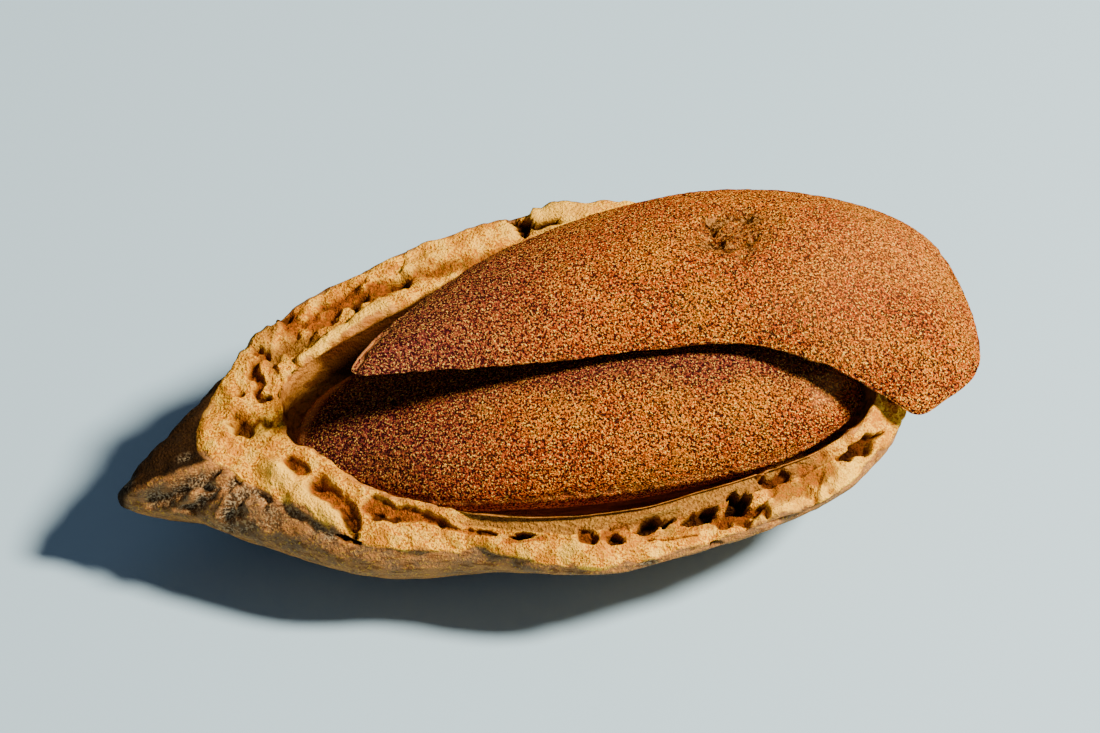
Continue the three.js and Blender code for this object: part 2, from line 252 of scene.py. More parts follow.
shell = {
    "restSpot": {"x": 0.6, "y": 0.9, "z": 0.0, "halfLength": 4.0, "halfWidth": 2.6},
    "hollowFloor": {"x": 0.3, "y": 0.2, "z": 1.9, "halfLength": 4.0, "halfWidth": 2.0},
    # from the tip along the near side to the stem end and back along the far side:
    # keel, where the wall is widest; rim and lip, outer and inner edge of the broken face; fullness
    "places": [
        [(-19.7, -1.2, 3.6), (-15.8, 0.3, 6.4), (-12.5, 0.0, 6.8), 1.5],
        [(-17.0, -3.1, 4.2), (-15.9, -1.8, 6.2), (-12.4, -1.2, 6.5), 1.6],
        [(-13.0, -5.5, 4.1), (-12.9, -4.4, 5.8), (-11.1, -2.5, 6.4), 1.7],
        [(-9.4, -7.2, 3.9), (-9.4, -7.0, 5.0), (-9.1, -4.5, 6.2), 1.6],
        [(-4.7, -8.1, 4.2), (-4.7, -7.9, 4.9), (-4.9, -6.5, 6.0), 1.45],
        [(0.6, -9.5, 4.5), (0.6, -9.5, 4.8), (0.3, -7.2, 6.0), 1.2],
        [(5.8, -8.7, 4.6), (5.8, -8.7, 4.9), (5.4, -6.5, 6.0), 1.2],
        [(10.7, -6.8, 4.7), (10.7, -6.8, 5.0), (10.1, -5.1, 6.1), 1.3],
        [(13.9, -4.1, 5.0), (13.9, -4.1, 5.3), (13.0, -3.5, 6.3), 1.5],
        [(15.3, -1.2, 5.4), (15.3, -1.4, 6.0), (14.0, -1.2, 6.8), 1.8],
        [(14.9, 3.4, 6.2), (14.5, 3.3, 7.4), (12.8, 2.8, 7.8), 2.1],
        [(11.1, 7.8, 6.4), (10.6, 7.2, 8.4), (8.2, 5.6, 8.4), 2.3],
        [(5.2, 10.2, 6.5), (5.0, 9.4, 9.2), (3.6, 6.9, 8.9), 2.3],
        [(-1.6, 10.2, 6.4), (-1.4, 9.3, 8.9), (-2.2, 6.8, 8.6), 2.3],
        [(-8.1, 8.2, 6.0), (-7.7, 7.6, 8.2), (-6.9, 4.9, 8.0), 2.2],
        [(-12.5, 5.7, 5.2), (-11.8, 5.7, 7.4), (-10.8, 2.9, 7.4), 1.9],
        [(-16.6, 1.7, 4.6), (-14.5, 3.1, 6.8), (-12.2, 1.7, 7.0), 1.5],
    ],
    "shoulderTurn": np.radians(60),
    "hollowFullness": (2.2, 2.6),       # across, up
    "columns": 640,
    # how closely the columns are packed, round the same loop as the places
    "closeness": [1.2, 1.3, 1.4, 1.45, 1.4, 1.3, 1.4, 1.4, 1.3, 1.0, 0.7, 0.6, 0.6, 0.8, 1.1, 1.3, 1.25],
    "rows": {"spot": 3, "wall": 44, "shoulder": 18, "broken": 56, "hollow": 32, "floor": 3},
    "wallCrowding": 0.85,               # under 1 the wall's rows stand closer near the keel
    "hollowCrowding": 1.25,             # over 1 the hollow's rows stand closer near the lip
    "bellyNormal": -0.6,                # marks on the outer wall leave alone what faces lower
    "restFade": (0.0, 0.6),             # heights over which wear sets in above the rest spot
    # Pits, channels, cracks and ridges. path: places in the plan, with a height on a steep wall;
    # width: half width at the two ends; depth: down is positive; then the share of each tone
    # the near-black tone paints the shade deep down in pits, holes and cracks
    "marks": [
        # left end of the broken face
        {"path": [(-14.3, -0.1), (-13.6, -0.2)], "width": (0.42, 0.36), "fray": 1.3, "edge": 0.8,
         "depth": 0.18, "amber": 0.9, "dark": 0.75},
        {"path": [(-14.1, 1.6)], "width": (0.22, 0.22), "fray": 0.6, "depth": 0.21, "amber": 1,
         "dark": 0.5},
        {"path": [(-13.0, 3.6), (-13.4, 2.7)], "width": (0.28, 0.34), "fray": 1.1, "depth": 0.24,
         "amber": 1, "dark": 0.4},
        {"path": [(-13.2, 2.3), (-13.3, 1.8)], "width": (0.22, 0.26), "fray": 0.8, "depth": 0.24,
         "amber": 1, "dark": 0.4},
        {"path": [(-13.2, 1.3), (-12.9, 1.2)], "width": (0.24, 0.18), "fray": 0.9, "depth": 0.24,
         "amber": 1, "dark": 0.75},
        {"path": [(-12.6, 2.6), (-12.9, 1.6)], "width": (0.25, 0.15), "depth": 0.07, "amber": 0.5},
        # brown fibres behind the pale inner lip, and the orange channel along the far side
        {"path": [(-12.6, 3.6), (-11.6, 3.9), (-10.7, 4.2)], "width": (0.55, 0.5), "fray": 0.8,
         "edge": 0.8, "depth": 0.18, "bark": 0.9, "dark": 0.35},
        {"path": [(-11.6, 5.5), (-10.9, 5.0), (-9.8, 5.2)], "width": (0.55, 0.5), "edge": 0.7,
         "depth": 0.18, "amber": 1, "dark": 0.15},
        {"path": [(-12.3, 5.6), (-11.6, 5.6)], "width": (0.25, 0.2), "fray": 1.2, "depth": 0.24,
         "amber": 1, "dark": 0.8},
        {"path": [(-9.8, 5.5), (-8.6, 6.1), (-7.3, 6.4)], "width": (0.5, 0.42), "edge": 0.7,
         "depth": 0.21, "amber": 1, "dark": 0.2},
        {"path": [(-8.6, 5.7), (-8.2, 5.9)], "width": (0.24, 0.2), "depth": 0.18, "amber": 1,
         "dark": 0.8},
        {"path": [(-6.6, 6.4), (-6.3, 6.5)], "width": (0.36, 0.34), "fray": 0.5, "depth": 0.5,
         "amber": 1, "dark": 0.7},
        {"path": [(-11.3, 2.9), (-10.3, 3.5), (-9.0, 4.3), (-7.4, 5.1)], "width": (0.2, 0.4),
         "fray": 0.25, "edge": 0.5, "depth": -0.2, "pale": 1},
        # painted shadow: the hollow's far-left wall under the upper kernel's left end is painted darker
        {"zone": "hollow", "path": [(-9.3, 3.7, 6.8), (-7.4, 4.6, 7.2), (-5.0, 5.6, 7.2)],
         "width": (1.5, 2.2), "fray": 0.3, "edge": 0.35, "depth": 0.02, "stain": 1},
        {"path": [(-6.0, 6.7), (-3.1, 7.0), (1.5, 7.9), (6.0, 7.6)], "width": (0.3, 0.25), "fray": 1.2,
         "edge": 0.6, "depth": 0.15, "amber": 0.8, "dark": 0.2},
        # split across the far rim
        {"path": [(-1.0, 9.6), (-0.7, 9.0), (-0.4, 8.2)], "width": (0.2, 0.12), "fray": 0.9,
         "depth": 0.36, "amber": 1, "dark": 1},
        {"path": [(-0.3, 8.9), (0.1, 8.5), (1.0, 8.5)], "width": (0.2, 0.12), "fray": 0.9,
         "depth": 0.36, "amber": 1, "dark": 1},
        # near side, from the left
        {"path": [(-12.35, -2.5), (-12.0, -3.1)], "width": (0.3, 0.34), "fray": 0.5, "depth": 0.25,
         "amber": 1, "dark": 0.25},
        {"path": [(-12.4, -2.35), (-12.25, -2.8)], "width": (0.12, 0.12), "fray": 0.5, "depth": 0.12,
         "dark": 0.7},
        {"path": [(-11.3, -4.0), (-10.6, -4.6), (-10.15, -5.3), (-9.9, -6.1)], "width": (0.5, 0.22),
         "fray": 0.5, "grit": 0.8, "edge": 0.4, "depth": 0.26, "amber": 1, "dark": 0.12},
        {"path": [(-11.5, -3.9), (-11.0, -4.1)], "width": (0.16, 0.12), "fray": 0.8, "depth": 0.15,
         "dark": 0.7},
        {"path": [(-10.5, -5.1), (-10.0, -5.9)], "width": (0.14, 0.12), "fray": 0.9, "depth": 0.12,
         "dark": 0.6},
        {"path": [(-10.3, -5.6), (-10.0, -6.4)], "width": (0.14, 0.16), "fray": 0.9, "depth": 0.15,
         "dark": 0.9},
        {"path": [(-13.1, -3.0), (-12.3, -4.0), (-11.5, -4.9), (-10.8, -5.6)], "width": (0.55, 0.42),
         "fray": 0.2, "edge": 0.9, "depth": -0.32, "pale": 0.85},
        {"zone": "outer", "path": [(-10.8, -6.3, 5.2), (-9.8, -6.8, 5.0)], "width": (0.1, 0.16),
         "slim": True, "depth": 0.3, "amber": 0.8, "dark": 1},
        {"path": [(-9.1, -5.3), (-8.3, -5.7), (-7.1, -6.2), (-6.2, -6.6)], "width": (0.42, 0.2),
         "fray": 0.5, "edge": 0.4, "depth": 0.27, "amber": 1, "dark": 0.1},
        {"path": [(-9.0, -5.8), (-8.2, -6.1)], "width": (0.14, 0.14), "fray": 0.9, "depth": 0.15,
         "amber": 1, "dark": 0.8},
        {"path": [(-6.2, -6.7), (-5.5, -7.0), (-4.6, -7.3)], "width": (0.16, 0.08), "fray": 0.9,
         "depth": 0.12, "amber": 0.8, "dark": 0.15},
        {"path": [(-4.6, -7.25), (-3.9, -7.45)], "width": (0.12, 0.12), "depth": 0.18, "amber": 1,
         "dark": 0.7},
        {"path": [(-3.3, -7.65), (-2.2, -7.8)], "width": (0.17, 0.13), "fray": 0.6, "edge": 0.25,
         "slim": True, "depth": 0.7, "amber": 0.4, "dark": 1},
        {"path": [(-3.5, -7.75), (-2.7, -7.95), (-1.8, -7.9)], "width": (0.1, 0.1), "fray": 1.2,
         "depth": 0.1, "amber": 0.9},
        {"path": [(-0.1, -8.1), (0.45, -8.25)], "width": (0.3, 0.24), "fray": 0.8, "edge": 0.35,
         "depth": 0.34, "amber": 1, "dark": 0.55},
        {"path": [(0.5, -8.2), (1.0, -8.35)], "width": (0.3, 0.24), "depth": 0.16, "amber": 0.9,
         "dark": 0.2},
        {"path": [(1.15, -8.45), (1.3, -8.5)], "width": (0.22, 0.2), "fray": 0.7, "edge": 0.3,
         "depth": 0.45, "amber": 0.8, "dark": 0.9},
        # torn layer under the cream, with holes through it
        {"path": [(1.4, -8.0), (3.1, -8.2), (5.0, -7.8), (7.0, -7.5)], "width": (0.3, 0.6), "fray": 0.8,
         "edge": 0.6, "depth": 0.18, "amber": 0.6},
        {"path": [(2.6, -8.5), (3.6, -8.6), (4.8, -8.45)], "width": (0.07, 0.07), "fray": 1.2,
         "depth": 0.15, "amber": 1, "dark": 0.4},
        {"path": [(2.0, -8.1), (2.9, -7.95), (3.9, -7.6)], "width": (0.3, 0.26), "fray": 0.8,
         "edge": 0.25, "slim": True, "depth": 0.9, "amber": 0.6, "dark": 1},
        {"path": [(1.2, -7.85), (2.4, -7.6), (3.4, -7.4), (4.3, -7.2)], "width": (0.07, 0.12),
         "fray": 0.4, "edge": 0.3, "depth": -0.3, "pale": 1},
        {"path": [(4.4, -7.75), (5.0, -7.6), (5.7, -7.3)], "width": (0.26, 0.3), "edge": 0.3,
         "slim": True, "depth": 0.75, "amber": 0.9, "dark": 0.9},
        {"path": [(6.4, -7.3), (7.1, -7.0), (7.7, -6.9)], "width": (0.4, 0.34), "edge": 0.3,
         "slim": True, "depth": 0.8, "amber": 0.9, "dark": 1},
        {"path": [(6.0, -7.9), (6.9, -7.6), (7.7, -7.4)], "width": (0.3, 0.3), "fray": 1.2, "edge": 0.4,
         "depth": 0.35, "amber": 1, "dark": 0.45},
        {"path": [(5.8, -7.25), (6.6, -7.15), (7.4, -7.4)], "width": (0.1, 0.16), "fray": 0.9,
         "edge": 0.3, "depth": -0.28, "amber": 0.7},
        {"path": [(8.5, -6.6), (9.6, -6.3), (10.8, -5.6)], "width": (0.7, 0.5), "fray": 1.1,
         "edge": 0.7, "depth": 0.2, "amber": 0.8, "dark": 0.12},
        {"path": [(8.2, -6.2), (9.2, -5.9)], "width": (0.2, 0.2), "fray": 1.3, "depth": 0.3, "amber": 1,
         "dark": 0.7},
        {"zone": "outer", "path": [(5.6, -8.7, 4.8), (5.9, -8.75, 4.6)], "width": (0.22, 0.22),
         "fray": 0.9, "depth": 0.3, "amber": 0.6, "dark": 0.9},
        {"path": [(11.6, -5.1), (11.8, -5.0)], "width": (0.17, 0.15), "depth": 0.3, "amber": 1,
         "dark": 0.6},
        {"path": [(11.9, -5.05), (12.7, -4.5), (13.9, -3.6)], "width": (0.4, 0.26), "fray": 0.8,
         "edge": 0.3, "slim": True, "depth": 0.75, "amber": 1, "dark": 0.75},
        {"path": [(12.0, -5.0), (12.5, -4.65)], "width": (0.2, 0.2), "fray": 0.7, "edge": 0.4,
         "depth": 0.3, "dark": 1},
        {"path": [(14.6, -2.0), (14.3, 1.0), (12.9, 4.2), (9.6, 6.5)], "width": (0.3, 0.3), "fray": 1.4,
         "edge": 0.6, "depth": 0.21, "amber": 0.9, "dark": 0.4},
        # ridges of the tip, and between them grooves full of grey crust
        {"zone": "outer",
         "path": [(-19.6, -1.3, 3.9), (-18.6, -1.8, 5.0), (-17.2, -2.0, 5.6), (-15.9, -2.0, 6.1)],
         "width": (0.4, 0.35), "fray": 0.3, "edge": 0.9, "depth": -0.34},
        {"zone": "outer", "path": [(-18.8, -2.2, 4.4), (-17.4, -2.6, 5.2), (-15.9, -2.5, 6.0)],
         "width": (0.24, 0.28), "fray": 1.1, "edge": 0.7, "depth": 0.34, "grey": 0.8},
        {"zone": "outer", "path": [(-17.2, -3.2, 4.4), (-15.7, -3.2, 5.7), (-14.5, -2.75, 6.2)],
         "width": (0.24, 0.3), "fray": 1.1, "edge": 0.7, "depth": 0.36, "grey": 0.8},
        {"zone": "outer", "path": [(-15.4, -4.0, 5.0), (-14.2, -3.8, 5.9), (-13.3, -3.4, 6.1)],
         "width": (0.36, 0.3), "fray": 1.1, "edge": 0.7, "depth": 0.32, "grey": 0.8},
        {"zone": "outer", "path": [(-18.0, -2.9, 4.3), (-16.6, -2.95, 5.4), (-15.0, -2.6, 6.1)],
         "width": (0.22, 0.26), "fray": 0.5, "edge": 0.8, "depth": -0.24},
        {"zone": "outer", "path": [(-15.8, -3.8, 4.6), (-14.8, -3.5, 5.8), (-13.8, -3.1, 6.1)],
         "width": (0.24, 0.26), "fray": 0.5, "edge": 0.8, "depth": -0.22},
        {"zone": "outer",
         "path": [(-15.4, -4.0, 4.5), (-13.9, -4.8, 4.8), (-12.6, -4.8, 5.6), (-11.4, -5.5, 5.5)],
         "width": (0.45, 0.3), "fray": 1.5, "edge": 0.8, "depth": 0.1, "grey": 0.5},
    ],
    # Relief is given as waves: height, size, layers, seed. Rim and lip wander along the wall.
    "rimWander": [(0.16, 1.7, 3, 1)],
    "rimOutMost": 0.05,
    "lipWander": [(0.09, 2.8, 3, 2)],
    # the wall's soft middle has worn into an uneven channel between harder skins; middle and
    # spread are shares of the way from the rim to the lip
    "channel": {"middle": 0.55, "spread": 0.16, "depth": 0.26, "amber": 0.6, "skinRise": 0.10,
                "uneven": [(0.5, 2.6, 2, 3)]},
    "breakRelief": [(0.16, 1.3, 3, 11), (0.08, 0.5, 2, 12)],
    # inner layer of the near wall: a smooth, darker strip a little below the cream
    "strip": {"begins": (0.60, 0.66), "left": (-6.2, -4.4), "right": (12.2, 10.4), "depth": 0.18,
              "wander": [(0.04, 0.8, 2, 14)], "relief": [(0.02, 0.5, 2, 15)]},
    # outer wall: long shallow ridges and fine fibres, with pits drawn out lengthwise
    "outerRelief": [(0.12, (4.8, 1.35, 1.35), 3, 31), (0.025, (1.6, 0.28, 0.28), 2, 32)],
    "pits": {"cell": (1.9, 1.1, 1.1), "seed": 5, "edge": (0.12, 0.36), "depth": 0.16, "grey": 0.9,
             "patch": 3.0, "patchSeed": 6, "patchEdge": (-0.1, 0.5)},
    # painted shade: the outer wall on the far side of this line in the plan, the tip's flank turned away
    # from the lamp, is painted dark
    "flank": {"line": [(-19.9, -1.5), (-15.5, -2.15)], "fades": (-8.0, -13.0), "edge": 0.1,
              "wander": [(0.12, 0.6, 3, 33)], "relief": [(0.06, 0.5, 2, 34)]},
    "hollowRelief": [(0.03, (5.0, 0.7, 0.7), 2, 41)],
    # how soft and how ragged the line is where one colour changes over to another
    "colourEdge": 0.08,
    "colourWander": [(0.2, 0.8, 3, 13)],
    "tones": ["amber", "dark", "pale", "bark", "grey", "shade", "strip", "stain"],
    # fractured plates: the surface past the line through a point is raised, fading with distance;
    # heading is the line's direction in degrees from +X
    "plateWander": [(0.12, 0.6, 2, 21)],
    "plateStep": (-0.06, 0.06),
    "plateAcross": (0.75, 0.35),
    "plates": [
        {"point": (7.6, -7.7), "heading": 50, "rise": 0.35, "reach": 2.6, "pale": 0.8},
        {"point": (10.5, -6.5), "heading": 65, "rise": 0.25, "reach": 2.8, "pale": 0.8},
        {"point": (-0.2, 9.0), "heading": 80, "rise": 0.3, "reach": 3.0, "pale": 0.9},
        {"point": (-6.2, 7.2), "heading": 80, "rise": 0.18, "reach": 2.2, "pale": 0.3},
        {"point": (-11.9, 5.0), "heading": -115, "rise": 0.25, "reach": 2.2, "bark": 0.7},
    ],
}


def evenShares(loops, count, closeness=None):
    # shares of the way round that are evenly spaced in length, measured on the given loops;
    # closeness packs them tighter where it is over 1
    fine = np.linspace(0, 1, 4001)
    lengths = sum(np.linalg.norm(np.diff(loopThrough(loop, fine), axis=0), axis=1) for loop in loops)
    if closeness:
        lengths = lengths * loopThrough(closeness, fine[1:])[:, 0]
    travelled = np.concatenate([[0], np.cumsum(lengths)])
    return np.interp(np.arange(count) / count * travelled[-1], travelled, fine)


def shellRows():
    # One profile for every share of the way round, in stretches: the rest spot from its middle
    # out; a superellipse wall up to the keel; an arc of shoulderTurn in to the rim; a straight
    # line over the broken face to the lip; a superellipse bowl down to the hollow's floor.
    # With each point go its distances past the rim and past the lip.
    places = shell["places"]
    loops = [[place[index] for place in places] for index in range(4)]
    around = evenShares(loops[:2], shell["columns"], shell["closeness"])
    keel, rim, lip, fullness = (loopThrough(loop, around) for loop in loops)
    outward = (rim - lip) / np.linalg.norm(rim - lip, axis=1)[:, None]
    rimMove = np.minimum(relief(rim, shell["rimWander"]), shell["rimOutMost"])
    rim = rim + outward * rimMove[:, None]
    lip = lip + outward * relief(lip, shell["lipWander"])[:, None]
    angle = np.pi * (1 + 2 * around)
    flat, upright = np.array([1, 1, 0]), np.array([0, 0, 1])

    def oval(spot, share=1.0):
        return np.stack([spot["x"] + share * spot["halfLength"] * np.cos(angle),
                         spot["y"] + share * spot["halfWidth"] * np.sin(angle),
                         spot["z"] + 0 * angle], 1)

    def between(a, b, planShare, heightShare):
        return a + (b - a) * (flat * planShare + upright * heightShare)

    counts = shell["rows"]
    spotShares = np.linspace(0, 1, counts["spot"], endpoint=False)
    rows = [oval(shell["restSpot"], share) for share in spotShares]
    for share in np.linspace(0, 1, counts["wall"], endpoint=False) ** shell["wallCrowding"]:
        turn = share * quarterTurn
        rows.append(between(oval(shell["restSpot"]), keel,
                            np.sin(turn) ** (2 / fullness), 1 - np.cos(turn) ** (2 / fullness)))
    full = shell["shoulderTurn"]
    for share in np.linspace(0, 1, counts["shoulder"], endpoint=False):
        turn = share * full
        inward = (1 - np.cos(turn)) / (1 - np.cos(full))
        rows.append(between(keel, rim, inward, np.sin(turn) / np.sin(full)))
    for share in np.linspace(0, 1, counts["broken"]):
        rows.append(mixed(rim, lip, share))
    acrossPower, upPower = shell["hollowFullness"]
    for share in 1 - np.linspace(0, 1, counts["hollow"])[1:] ** shell["hollowCrowding"]:
        turn = share * quarterTurn
        rows.append(between(oval(shell["hollowFloor"]), lip,
                            np.sin(turn) ** (2 / acrossPower), 1 - np.cos(turn) ** (2 / upPower)))
    rows += [oval(shell["hollowFloor"], share) for share in np.linspace(1, 0, counts["floor"])[1:]]
    rows = np.array(rows)
    rimRow = counts["spot"] + counts["wall"] + counts["shoulder"]
    lipRow = rimRow + counts["broken"] - 1
    level = np.arange(len(rows))[:, None]
    pastRim = np.linalg.norm(rows - rim, axis=2) * np.sign(level - rimRow)
    pastLip = np.linalg.norm(rows - lip, axis=2) * np.sign(level - lipRow)
    return rows, np.stack([pastRim, pastLip], 2)


def makeShell(material):
    # Each kind of wear moves the surface along its normal by a share of its depth, and adds to the
    # shares of the tones. The moves are summed and the strongest share of a tone wins.
    rows, gaps = shellRows()
    points, faces, first = weldedGrid(rows, "shell_half")
    pastRim, pastLip = gaps.reshape(-1, 2)[first].T
    across = np.clip(pastRim / np.maximum(pastRim - pastLip, 1e-6), 0, 1)
    broken = ((pastRim >= 0) & (pastLip <= 0)).astype(float)
    outer = (pastRim < 0).astype(float)
    hollow = (pastLip > 0).astype(float)
    normals = normalsOf(points, faces)
    side = normals[:, 2] > shell["bellyNormal"]
    zoneOf = {"broken": broken, "outer": outer * side, "hollow": hollow}
    tones = {tone: np.zeros(len(points)) for tone in shell["tones"]}

    channel = shell["channel"]
    worn = np.exp(-((across - channel["middle"]) / channel["spread"]) ** 2)
    worn = worn * (0.5 + relief(points, channel["uneven"])) ** 2
    skins = np.sin(np.pi * across) ** 0.5
    move = broken * (channel["skinRise"] * skins - channel["depth"] * worn)
    move += broken * relief(points, shell["breakRelief"])
    tones["amber"] += broken * worn * channel["amber"]

    layer = shell["strip"]
    strip = broken * smoothStep(*layer["begins"], across + relief(points, layer["wander"]))
    strip *= smoothStep(*layer["left"], points[:, 0]) * smoothStep(*layer["right"], points[:, 0])
    strip *= points[:, 1] < 0
    move = mixed(move, relief(points, layer["relief"]) - layer["depth"], strip)
    tones["strip"] += strip
    tones["amber"] *= 1 - strip

    for plate in shell["plates"]:
        heading = np.radians(plate["heading"])
        ahead = np.array([np.sin(heading), -np.cos(heading)])
        offset = points[:, :2] - plate["point"]
        past = offset @ ahead + relief(points, shell["plateWander"])
        near = np.exp(-(np.linalg.norm(offset, axis=1) / plate["reach"]) ** 2)
        raised = smoothStep(*shell["plateStep"], past) * smoothStep(*shell["plateAcross"], across)
        raised *= near * broken
        move += plate["rise"] * raised
        for tone in tones.keys() & plate.keys():
            tones[tone] = np.maximum(tones[tone], plate[tone] * raised)

    pits = shell["pits"]
    pitted = 1 - smoothStep(*pits["edge"], cellDistance(points, pits["cell"], pits["seed"]))
    pitted *= smoothStep(*pits["patchEdge"], softNoise(points, pits["patch"], pits["patchSeed"]))
    move += outer * (relief(points, shell["outerRelief"]) - pits["depth"] * pitted)
    tones["grey"] += outer * pitted * pits["grey"]

    # painted shade on the tip's flank that faces away from the lamp
    flank = shell["flank"]
    start, end = np.array(flank["line"])
    square = np.array([start[1] - end[1], end[0] - start[0]]) / np.linalg.norm(end - start)
    beyond = (points[:, :2] - start) @ square + relief(points, flank["wander"])
    flankShadeShare = outer * smoothStep(-flank["edge"], flank["edge"], beyond)
    flankShadeShare *= smoothStep(*flank["fades"], points[:, 0])
    tones["shade"] += flankShadeShare
    move += flankShadeShare * relief(points, flank["relief"])

    move += hollow * relief(points, shell["hollowRelief"])

    for mark in shell["marks"]:
        mark = {**plainMark, **mark}
        share = markShare(points, zoneOf[mark["zone"]], mark)
        move -= mark["depth"] * share
        for tone in tones.keys() & mark.keys():
            tones[tone] = np.maximum(tones[tone], mark[tone] * share)

    # the rest spot stays flat and at floor height
    free = smoothStep(*shell["restFade"], points[:, 2])
    placed = points + normals * (move * free)[:, None]
    placed[:, 2] = np.maximum(placed[:, 2], 0)
    wander, edge = relief(points, shell["colourWander"]), shell["colourEdge"]
    inHollow = smoothStep(-edge, edge, pastLip + wander)
    tones["fresh"] = smoothStep(-edge, edge, pastRim + wander) * (1 - inHollow)
    tones["hollow"] = inHollow
    addPiece("almondShell", placed, faces, tones, material, "shell_half")


lowerKernel = {
    "node": "lower_kernel",
    # edge from the left tip along the near side to the right end and back
    "edge": [
        (-11.8, -0.3, 5.5), (-10.2, -2.5, 5.1), (-6.3, -4.5, 4.9), (-1.2, -5.0, 4.9), (4.5, -4.8, 5.0),
        (9.2, -3.95, 5.1), (12.2, -2.65, 5.4), (13.4, -1.2, 5.9), (12.3, 1.3, 6.4), (9.3, 3.8, 6.5),
        (4.5, 5.4, 6.3), (-1.0, 5.6, 6.1), (-6.0, 4.6, 6.0), (-10.2, 2.3, 5.9),
    ],
    "crest": [(-9.0, 0.0, 6.8), (-4.8, 0.0, 7.9), (1.6, 0.1, 8.7), (8.0, 0.0, 8.5), (11.0, -0.3, 7.6)],
    "underside": [(-9.0, 0.0, 4.0), (-4.8, 0.0, 2.9), (1.6, 0.1, 2.5), (8.0, 0.0, 3.0), (11.0, -0.3, 4.2)],
    "roundness": (1.0, 1.0),            # of the top and the underside
    "marks": [
        # rubbed rim at both ends
        {"path": [(-11.7, -0.4), (-10.6, 1.6), (-9.4, 2.6)], "width": (0.3, 0.3), "fray": 0.2,
         "edge": 0.6, "rubbed": 0.7},
        {"path": [(11.6, -1.9), (12.2, -1.2)], "width": (0.7, 0.6), "fray": 0.6, "edge": 0.9,
         "rubbed": 0.5},
        # painted shadow: a darker band under the upper kernel's edge
        {"path": [(-9.0, -0.6), (0.0, -0.5), (5.0, -0.8), (11.0, -0.3)], "width": (1.2, 1.4),
         "fray": 0.3, "grit": 2.0, "edge": 0.9, "tipward": 0.85},
    ],
}
upperKernel = {
    "node": "upper_kernel",
    "edge": [
        (-9.5, -1.9, 10.8), (-8.5, -2.3, 10.7), (-6.6, -1.95, 10.4), (-3.7, -1.65, 10.0), (-0.1, -1.2, 9.55),
        (3.6, -0.8, 9.3), (7.8, -0.9, 9.3), (11.3, -1.8, 8.6), (13.8, -2.75, 7.3), (15.4, -3.5, 6.4),
        (16.9, -2.7, 6.4), (18.4, -1.6, 6.7), (18.9, 0.2, 7.2), (18.6, 3.2, 7.8), (17.3, 6.2, 8.5),
        (13.4, 8.3, 9.2), (8.2, 9.0, 9.7), (3.2, 8.2, 9.7), (-1.6, 6.1, 9.9), (-5.4, 3.1, 10.3),
        (-8.2, 0.1, 10.75),
    ],
    "crest": [(-7.0, -0.7, 11.35), (-0.8, 2.5, 11.5), (6.0, 4.0, 11.7), (12.2, 3.2, 11.2),
              (16.2, 0.8, 9.5)],
    "underside": [(-7.0, -0.7, 10.5), (-0.8, 2.5, 9.95), (6.0, 4.0, 9.7), (12.2, 3.2, 9.4),
                  (16.2, 0.8, 7.9)],
    "roundness": (1.4, 2.0),
    "marks": [
        # the crumbled scar where the seed's vessels met
        {"path": [(7.6, 3.7), (8.5, 4.2), (9.2, 5.0)], "width": (1.1, 1.0), "fray": 0.7, "grit": 0.7,
         "edge": 0.9, "depth": 0.28, "scar": 0.6},
        {"path": [(7.2, 3.6), (8.3, 3.2), (9.4, 3.8)], "width": (0.42, 0.36), "fray": 1.2, "edge": 0.7,
         "depth": 0.25, "scar": 1.0},
        {"path": [(7.4, 4.9), (8.4, 5.3), (9.6, 5.2)], "width": (0.25, 0.3), "fray": 1.3, "edge": 0.7,
         "depth": 0.2, "scar": 1.0},
        # the left tip's rubbed bevel
        {"path": [(-9.6, -2.0), (-8.9, -0.9), (-7.8, 0.2)], "width": (0.34, 0.26), "fray": 0.6,
         "edge": 0.4, "depth": 0.1, "rubbed": 0.8},
        # painted light: the right end, facing the lamp, is painted paler
        {"path": [(13.0, 1.5), (16.0, 3.5)], "width": (3.0, 3.6), "fray": 0.4, "grit": 2.5, "edge": 0.9,
         "rubbed": 0.16},
    ],
}


# both kernels' grid and skin; relief is given as waves: height, size, layers, seed
kernelSkin = {
    "columns": 690,
    "rows": (84, 30),                   # on the top and the underside
    "relief": [(0.05, 3.0, 2, 51), (0.022, 0.5, 2, 52)],
    "vein": {"along": 2.6, "across": 7.0, "seed": 50, "height": 0.035, "begins": (0.02, 0.2)},
    "grain": {"size": 0.26, "depth": 0.03, "seed": 53},
    "edge": {"begins": 0.9, "wander": [(0.1, 0.9, 2, 54)], "rubbed": 0.35, "rubbedBegins": 0.955},
    "scarRelief": [(0.12, 0.5, 3, 61)],
    "lengthInPaintedShade": 0.45,                # share of the length, from the left tip, that painted shade darkens
}


